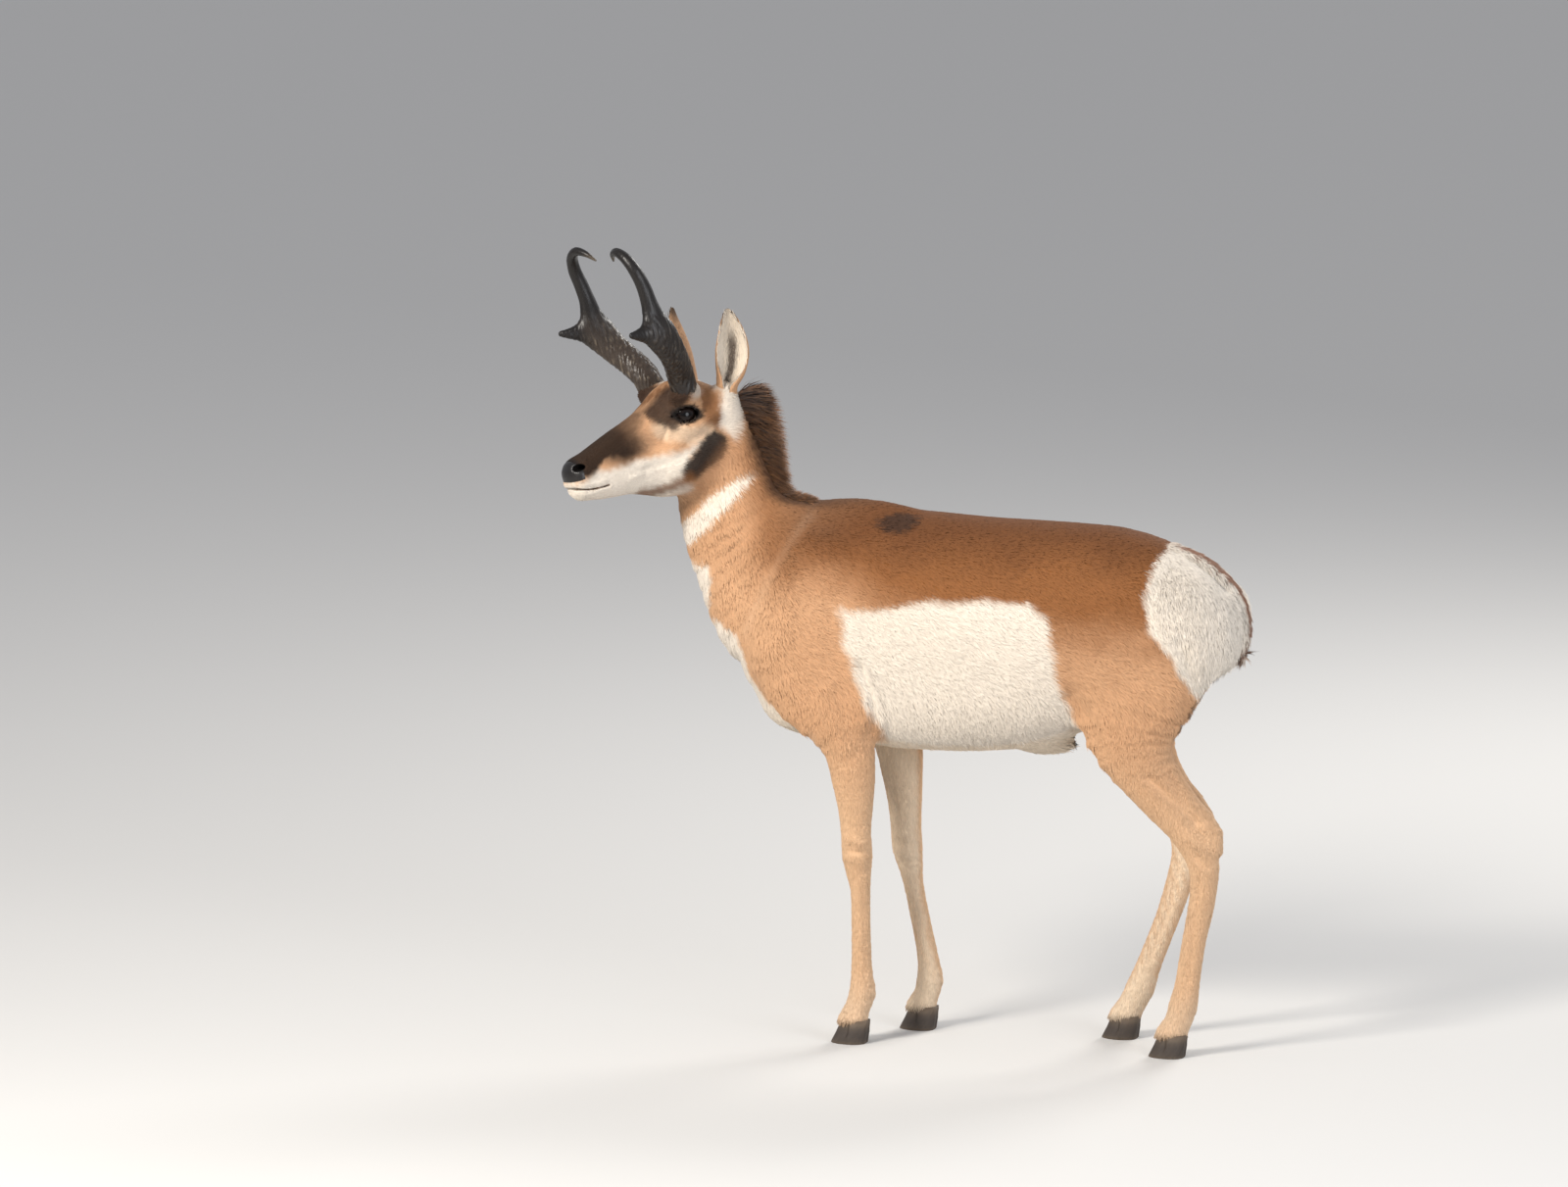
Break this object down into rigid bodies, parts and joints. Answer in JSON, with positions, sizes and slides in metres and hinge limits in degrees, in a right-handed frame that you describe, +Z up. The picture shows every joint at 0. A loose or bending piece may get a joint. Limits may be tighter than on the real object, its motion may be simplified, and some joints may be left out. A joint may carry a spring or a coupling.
{
  "type": "standing pronghorn buck",
  "caption": "Life-size standing pronghorn buck with pronged, hooked horns, upright ears, a short nape mane and slender legs.",
  "frame": {"origin": "floor level, under the middle of the overall footprint", "axes": "+Z up, -X the way the body faces, -Y the animal's left side"},
  "size_m": [1.1664, 0.3609, 1.3245],
  "materials": {
    "coat": "matte",
    "horn": "satin",
    "hoof": "satin",
    "eye": "gloss"
  },
  "bodies": {
    "root": {"ear_left": "coat", "ear_right": "coat", "eye_left": "eye", "eye_right": "eye", "foreleg_left": "coat", "foreleg_right": "coat", "head": "coat", "hindleg_left": "coat", "hindleg_right": "coat", "hoof_fore_left_a": "hoof", "hoof_fore_left_b": "hoof", "hoof_fore_right_a": "hoof", "hoof_fore_right_b": "hoof", "hoof_hind_left_a": "hoof", "hoof_hind_left_b": "hoof", "hoof_hind_right_a": "hoof", "hoof_hind_right_b": "hoof", "horn_left": "horn", "horn_right": "horn", "neck": "coat", "tail": "coat", "torso": "coat"}
  },
  "joints": []
}
